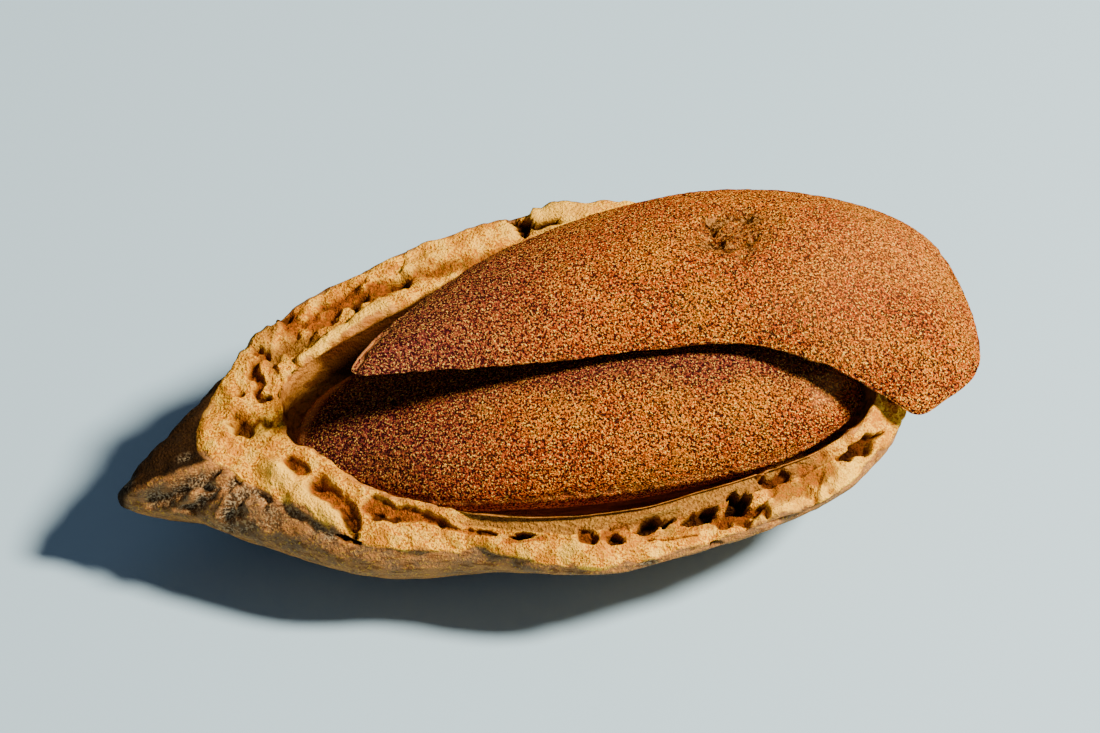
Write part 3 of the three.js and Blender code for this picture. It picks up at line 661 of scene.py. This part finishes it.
def kernelRows(kernel):
    # Rows from the crest out to the edge and back in under it. Each point leaves the crest along
    # the crest's own slope and bends down to the edge: with e from 0 to 1, it has dropped by
    # 1 - cos(e * 90 degrees) to the power of the roundness.
    nearby = 1e-3           # step along the crest over which its slope is measured
    # shares measured both ways round, so that the two sides of the crest have the same points
    mirrored = kernel["edge"][:1] + kernel["edge"][:0:-1]
    around = evenShares([kernel["edge"], mirrored], kernelSkin["columns"])
    along = (1 - np.cos(2 * np.pi * around)) / 2
    edge = loopThrough(kernel["edge"], around)

    def side(ridgePoints, roundness, shares, reach):
        start = lineThrough(ridgePoints, along)
        slope = lineThrough(ridgePoints, along + nearby) - lineThrough(ridgePoints, along - nearby)
        rise = slope[:, 2] / (slope[:, 0] ** 2 + slope[:, 1] ** 2)
        made = []
        for share in shares:
            place = mixed(start, edge, np.sin(share * quarterTurn))
            level = start[:, 2] + rise * ((place - start)[:, :2] * slope[:, :2]).sum(1)
            levelAtEdge = start[:, 2] + rise * ((edge - start)[:, :2] * slope[:, :2]).sum(1)
            drop = 1 - np.cos(share * quarterTurn) ** roundness
            place[:, 2] = level + (edge[:, 2] - levelAtEdge) * drop
            made.append((place, np.stack([along, np.sign(0.5 - around) * share, 0 * along + reach], 1)))
        return made

    topRows, underRows = kernelSkin["rows"]
    rows = side(kernel["crest"], kernel["roundness"][0], np.linspace(0, 1, topRows), 1)
    rows += side(kernel["underside"], kernel["roundness"][1], np.linspace(1, 0, underRows)[1:], -1)
    return np.array([row for row, _ in rows]), np.array([spot for _, spot in rows])


def makeKernel(name, kernel, material):
    rows, spots = kernelRows(kernel)
    points, faces, first = weldedGrid(rows, kernel["node"])
    along, reach, side = spots.reshape(-1, 3)[first].T
    outward = np.abs(reach)             # 0 on the crest, 1 at the edge
    normals = normalsOf(points, faces)
    top = (side > 0).astype(float)
    # veins run from end to end, side by side between crest and edge
    veins, grain, edge = kernelSkin["vein"], kernelSkin["grain"], kernelSkin["edge"]
    veinPlace = np.stack([along * veins["along"], reach * veins["across"], side], 1)
    vein = layeredNoise(veinPlace, 1.0, 3, veins["seed"]) * smoothStep(*veins["begins"], outward)
    move = relief(points, kernelSkin["relief"]) + veins["height"] * vein
    move -= grain["depth"] * cellDistance(points, grain["size"], grain["seed"])
    move += smoothStep(edge["begins"], 1.0, outward) * relief(points, edge["wander"])
    tones = {
        "scar": np.zeros(len(points)),
        # painted shade: darkest at the left tip, where the lamp's light only grazes
        "tipward": smoothStep(kernelSkin["lengthInPaintedShade"], 0.0, along),
        "rubbed": edge["rubbed"] * smoothStep(edge["rubbedBegins"], 1.0, outward),
    }
    for mark in kernel["marks"]:
        mark = {**plainMark, **mark}
        share = markShare(points, top, mark)
        crumbled = mark.get("scar", 0) * relief(points, kernelSkin["scarRelief"])
        move -= share * (mark["depth"] + crumbled)
        for tone in tones.keys() & mark.keys():
            tones[tone] = np.maximum(tones[tone], share * mark[tone])
    placed = points + normals * move[:, None]
    tones["vein"] = 0.5 + 0.5 * vein
    addPiece(name, placed, faces, tones, material, kernel["node"])


class Wire:
    # a socket that can be added, taken away and multiplied like a number
    def __init__(self, finish, socket):
        self.finish, self.socket = finish, socket

    def maths(self, operation, first, second, clamp=False):
        settings = {"operation": operation, "use_clamp": clamp}
        return self.finish.node("Math", settings, [first, second])

    def __add__(self, other):
        return self.maths("ADD", self, other)

    def __radd__(self, other):
        return self.maths("ADD", other, self)

    def __sub__(self, other):
        return self.maths("SUBTRACT", self, other)

    def __rsub__(self, other):
        return self.maths("SUBTRACT", other, self)

    def __mul__(self, other):
        return self.maths("MULTIPLY", self, other)

    def __rmul__(self, other):
        return self.maths("MULTIPLY", other, self)

    def held(self):
        # kept between 0 and 1
        return self.maths("ADD", self, 0.0, clamp=True)

    def stepped(self, low, high):
        # 0 below low, 1 above high and smooth in between
        return self.finish.node("MapRange", {"interpolation_type": "SMOOTHSTEP"},
                                {"Value": self, "From Min": low, "From Max": high})


def tint(code):
    # a colour written as six hexadecimal digits, as the shader's linear numbers: below 0.04045 a
    # share is divided by 12.92, above it (share + 0.055) / 1.055 is raised to 2.4
    shares = np.array([int(code[index:index + 2], 16) / 255 for index in (0, 2, 4)])
    linear = np.where(shares <= 0.04045, shares / 12.92, ((shares + 0.055) / 1.055) ** 2.4)
    return (*map(float, linear), 1.0)


class Finish:
    # one node material, with its surface shader and object coordinates in millimetres
    def __init__(self, name):
        self.material = bpy.data.materials.new(name)
        self.material.use_nodes = True
        self.nodes, self.links = self.material.node_tree.nodes, self.material.node_tree.links
        self.surface = self.nodes["Principled BSDF"]
        place = self.node("TexCoord", {}, {}, output="Object")
        self.place = self.node("VectorMath", {"operation": "SCALE"}, {0: place, "Scale": 1 / mm})

    def node(self, kind, settings, sockets, output=0):
        made = self.nodes.new("ShaderNode" + kind)
        for setting, value in settings.items():
            if setting == "stops":
                ramp = made.color_ramp.elements
                while len(ramp) < len(value):
                    ramp.new(0.5)
                for element, (position, colour) in zip(ramp, value):
                    element.position, element.color = position, colour
            else:
                setattr(made, setting, value)
        for key, value in (enumerate(sockets) if isinstance(sockets, list) else sockets.items()):
            self.plug(made.inputs[key], value)
        return Wire(self, made.outputs[output])

    def plug(self, socket, value):
        if isinstance(value, Wire):
            self.links.new(value.socket, socket)
        else:
            socket.default_value = value

    def field(self, name):
        return self.node("Attribute", {"attribute_name": name}, {}, output="Fac")

    def stretched(self, scale, shift=0.0):
        shifts = (shift, shift, shift)
        return self.node("Mapping", {}, {"Vector": self.place, "Scale": scale, "Location": shifts})

    def noise(self, perMm, detail=2.0, roughness=0.5, place=None):
        return self.node("TexNoise", {}, {"Vector": place or self.place, "Scale": perMm,
                                          "Detail": detail, "Roughness": roughness})

    def cells(self, perMm, output="Distance"):
        return self.node("TexVoronoi", {}, {"Vector": self.place, "Scale": perMm}, output=output)

    def grey(self, colour):
        return self.node("SeparateColor", {}, {"Color": colour})

    def mix(self, share, first, second):
        made = self.nodes.new("ShaderNodeMix")
        made.data_type = "RGBA"
        self.plug(made.inputs["Factor"], share)
        self.plug(made.inputs[6], first)
        self.plug(made.inputs[7], second)
        return Wire(self, made.outputs[2])

    def ramp(self, value, stops):
        return self.node("ValToRGB", {"stops": stops}, {"Fac": value})

    def finishWith(self, colour, roughness, height, look):
        bump = {"Strength": 1.0, "Distance": look.bumpMm * mm, "Height": height}
        results = {"Base Color": colour, "Roughness": roughness, "Specular IOR Level": look.specular,
                   "Normal": self.node("Bump", {}, bump)}
        for name, value in results.items():
            self.plug(self.surface.inputs[name], value)
        print(self.material.name, "is mixed")
        return self.material


# colours, grains to the millimetre and the height of the finest relief
shellLook = {
    "cream": "fcbe34", "honey": "c0761c", "pore": "6e3c12", "palePlate": "ffd054",
    "tan": "a67242", "ash": "806246", "fibre": "60391a", "barkTan": "a97a42", "barkBrown": "784c22",
    "stripTan": "9c7038", "stripBrown": "64431f", "amber": "a4581a", "amberDeep": "5a2c10",
    # painted shade: the near black deep in pits, holes and cracks
    # painted shade: the near black of the flank turned away from the lamp
    "pitDark": "1c0903", "shaded": "170e08", "crustDark": "100b07", "crustLight": "a3937a",
    "hollow": "c8893f", "hollowDark": "8a5320", "stained": "452008",
    "fine": 6.5, "speckle": 9.0, "middling": 1.1, "pores": 2.6,
    "fibres": (0.7, 5.0, 5.0), "ribs": (0.25, 2.6, 2.6),
    "roughness": 0.85, "hollowRoughness": 0.55, "specular": 0.04, "bumpMm": 0.13,
}
kernelLook = {
    # glint and spark are partly painted highlights of the grains, crevice partly painted shade between them
    "ground": "8e3c12", "crevice": "260a12", "glint": "de7e1e", "rust": "c4501c", "dusty": "94543e",
    "spark": "ffcf62", "gold": "a86a0c", "plum": "6a2c1e", "red": "93300f", "shadeBrown": "4c2110",
    "rubbed": "c4844e", "tipBrown": "45182e", "scarDark": "2a120a", "scarPale": "a87844",
    "patches": [(0.0, "662818"), (0.35, "8e3c12"), (0.6, "a04c12"), (0.8, "98620e"), (1.0, "8c3c2c")],
    "fine": 9.5, "scurf": 13.0, "patch": 3.2, "broad": 0.3, "blotch": 0.45, "crumbs": 4.0,
    "roughness": 0.62, "specular": 0.0, "bumpMm": 0.22,
}


def linearLook(look):
    # the same look with its colours made linear, read as look.cream
    return SimpleNamespace(**{key: tint(value) if isinstance(value, str) else value
                              for key, value in look.items()})


def shellFinish():
    look = linearLook(shellLook)
    finish = Finish("almondShellWood")
    mix, noise, field = finish.mix, finish.noise, finish.field
    fresh, hollow = field("fresh"), field("hollow")
    fine = noise(look.fine, 3.0, 0.7)
    speckle = noise(look.speckle, 1.0, 0.5)
    middling = noise(look.middling, 3.0, 0.6)
    pores = finish.cells(look.pores)

    # fresh break: grainy, cream to honey, with scattered brown pores
    grain = mix(speckle.stepped(0.42, 0.54), look.honey, look.cream)
    grain = mix(middling.stepped(0.47, 0.64) * 0.75, grain, look.honey)
    grain = mix(middling.stepped(0.46, 0.36) * 0.6, grain, look.palePlate)
    grain = mix(pores.stepped(0.16, 0.06) * fine.stepped(0.45, 0.6) * 0.8, grain, look.pore)
    grain = mix(field("pale") * 0.7, grain, look.palePlate)
    bark = mix(fine.stepped(0.42, 0.6), look.barkBrown, look.barkTan)
    grain = mix(field("bark") * 0.85, grain, bark)
    strip = mix(fine.stepped(0.4, 0.62), look.stripBrown, look.stripTan)
    grain = mix(field("strip") * 0.9, grain, strip)

    # outside, worn by weather: tan to grey, with darker fibres drawn out lengthwise, and painted shade on
    # the flank turned away from the lamp
    lengthwise = noise(1.0, 4.0, 0.65, finish.stretched(look.fibres))
    outside = mix(middling.stepped(0.4, 0.66), look.tan, look.ash)
    outside = mix(lengthwise.stepped(0.5, 0.62) * 0.7, outside, look.fibre)
    outside = mix(speckle.stepped(0.56, 0.7) * 0.35, outside, look.cream)
    # painted shade: the flank turned away from the lamp is mixed nearly to black
    outside = mix(field("shade") * 0.95, outside, look.shaded)
    crust = mix(speckle.stepped(0.44, 0.62), look.crustDark, look.crustLight)
    outside = mix(field("grey") * (0.5 + middling * 0.8), outside, crust)

    # inner wall of the hollow: brown, faintly ribbed, with a painted shadow where the upper kernel's left
    # end hangs over it
    ribs = noise(1.0, 3.0, 0.6, finish.stretched(look.ribs, 5.0))
    inside = mix(ribs.stepped(0.4, 0.65), look.hollow, look.hollowDark)
    # painted shadow of the upper kernel's left end on the hollow's wall
    inside = mix(field("stain") * 0.92, inside, look.stained)

    colour = mix(fresh, outside, grain)
    colour = mix(hollow, colour, inside)
    amberTone = mix(fine.stepped(0.4, 0.62), look.amberDeep, look.amber)
    colour = mix((field("amber") * (0.5 + fine)).held(), colour, amberTone)
    # painted shade: near black deep in pits, holes and cracks
    colour = mix((field("dark") * (0.4 + fine * 1.1)).held(), colour, look.pitDark)
    roughness = look.roughness + hollow * (look.hollowRoughness - look.roughness)
    height = (speckle * 0.7 + fine * 0.9) * (0.6 + fresh * 0.6) + lengthwise * 0.5 * (1 - fresh)
    return finish.finishWith(colour, roughness, height, look)


def kernelFinish():
    look = linearLook(kernelLook)
    finish = Finish("kernelSkin")
    mix, noise, field = finish.mix, finish.noise, finish.field
    tipward = field("tipward")
    fine = noise(look.fine, 2.0, 0.65) - tipward * 0.015      # painted shade: darker towards the left tip
    scurf = noise(look.scurf, 1.0, 0.5)
    patchTone = finish.grey(finish.cells(look.patch, output="Color"))
    broad = noise(look.broad, 3.0, 0.6)
    vein = field("vein")
    blotch = noise(look.blotch, 2.0, 0.5, finish.stretched((0.6, 1.0, 1.0), 7.0))
    rubbed = field("rubbed")

    # small patches of differing brown, with pale scurf and painted glints on the grains and dark skin and
    # painted shade in the crevices between them; the whole is redder along the veins and in blotches, and
    # painted shade darkens it towards the left tip and in a band under the upper kernel
    patches = finish.ramp(patchTone, [(place, tint(code)) for place, code in look.patches])
    skin = mix(0.5, look.ground, patches)
    skin = mix(vein.stepped(0.5, 0.7) * 0.5, skin, look.red)
    skin = mix(broad.stepped(0.5, 0.75) * 0.3, skin, look.shadeBrown)
    skin = mix(broad.stepped(0.50, 0.38) * 0.5, skin, look.gold)
    skin = mix(blotch.stepped(0.52, 0.66) * 0.45, skin, look.plum)
    # painted shade: duskier brown towards the left tip and in the band under the upper kernel
    skin = mix(tipward * 0.8, skin, look.tipBrown)
    glint = mix(blotch.stepped(0.44, 0.6) * 0.8, look.glint, look.rust)
    glint = mix(tipward * 0.7, glint, look.dusty)
    # lit tops of the grains: pale scurf, partly painted as highlights, glints and sparks
    skin = mix(fine.stepped(0.51, 0.60) * (0.9 - tipward * 0.4), skin, glint)
    skin = mix(scurf.stepped(0.58, 0.65) * (0.9 - tipward * 0.3), skin, look.spark)
    # crevices between the grains: dark skin, partly painted as shade
    skin = mix(fine.stepped(0.495, 0.44) * 0.95, skin, look.crevice)
    # paler worn skin at the edges and the left tip's bevel, and painted light at the upper kernel's right
    # end
    skin = mix(rubbed * 0.7, skin, look.rubbed)
    scar = field("scar")
    crumbs = noise(look.crumbs, 3.0, 0.7)
    scarColour = mix(crumbs.stepped(0.46, 0.62), look.scarDark, look.scarPale)
    skin = mix(scar * 0.9, skin, scarColour)
    height = (fine + scurf * 0.4) * (1 - rubbed * 0.6) + scar * crumbs * 1.2
    return finish.finishWith(skin, look.roughness, height, look)


view = {
    "azimuth": -8.0, "elevation": 42.0, "distance": 260.0, "aim": (0.0, 3.5, 5.0),
    "lens": 188.9, "sensor": 36.0, "nearest": 0.01, "farthest": 20.0,
}
lamps = [
    # name, direction to the lamp, distance, size, power, colour
    ("keyLamp", (0.66, -0.20, 0.72), 0.30, 0.06, 3.3, (1.0, 0.83, 0.56)),
    ("frontFill", (-0.25, -0.85, 0.55), 0.45, 0.35, 0.12, (1.0, 0.97, 0.93)),
    ("topFill", (0.1, 0.5, 0.9), 0.5, 0.5, 0.10, (0.92, 0.97, 1.0)),
]
studio = {
    "airColour": (0.80, 0.90, 0.94, 1.0), "airStrength": 0.06,
    "floorColour": (0.39, 0.61, 0.93, 1.0), "floorRoughness": 0.7,
    "floorHalf": 2.0, "floorGap": 0.00001,      # metres; the gap keeps the floor off the rest spot
}


def addCamera():
    azimuth, elevation = np.radians(view["azimuth"]), np.radians(view["elevation"])
    level = np.cos(elevation)
    back = Vector((np.sin(azimuth) * level, -np.cos(azimuth) * level, np.sin(elevation)))
    right = Vector((np.cos(azimuth), np.sin(azimuth), 0))
    lens = bpy.data.cameras.new("mainCamera")
    lens.lens, lens.sensor_width = view["lens"], view["sensor"]
    lens.clip_start, lens.clip_end = view["nearest"], view["farthest"]
    camera = bpy.data.objects.new("mainCamera", lens)
    stand = (Vector(view["aim"]) + back * view["distance"]) * mm
    turned = Matrix((right, back.cross(right), back)).transposed().to_4x4()
    camera.matrix_world = Matrix.Translation(stand) @ turned
    putInScene(camera)
    bpy.context.scene.camera = camera


def addLamps():
    middle = (Vector(cadBox[0]) + Vector(cadBox[1])) / 2
    for name, direction, distance, size, power, colour in lamps:
        light = bpy.data.lights.new(name, "AREA")
        light.shape, light.size, light.energy, light.color = "DISK", size, power, colour
        lamp = bpy.data.objects.new(name, light)
        towards = Vector(direction).normalized()
        turned = towards.to_track_quat("Z", "Y").to_matrix().to_4x4()
        lamp.matrix_world = Matrix.Translation(middle + towards * distance) @ turned
        putInScene(lamp)
    world = bpy.data.worlds.new("studio")
    world.use_nodes = True
    air = world.node_tree.nodes["Background"]
    air.inputs["Color"].default_value = studio["airColour"]
    air.inputs["Strength"].default_value = studio["airStrength"]
    bpy.context.scene.world = world


def addFloor():
    half = studio["floorHalf"]
    corners = [(-half, -half, 0), (half, -half, 0), (half, half, 0), (-half, half, 0)]
    mesh = bpy.data.meshes.new("studioFloor")
    mesh.from_pydata(corners, [], [(0, 1, 2, 3)])
    finish = Finish("paleFloor")
    finish.surface.inputs["Base Color"].default_value = studio["floorColour"]
    finish.surface.inputs["Roughness"].default_value = studio["floorRoughness"]
    mesh.materials.append(finish.material)
    floor = bpy.data.objects.new("studioFloor", mesh)
    floor.location.z = -studio["floorGap"]
    putInScene(floor)


addCamera()
addLamps()
addFloor()
print("camera, lamps and floor are in place")
makeShell(shellFinish())
skinFinish = kernelFinish()
makeKernel("lowerKernel", lowerKernel, skinFinish)
makeKernel("upperKernel", upperKernel, skinFinish)
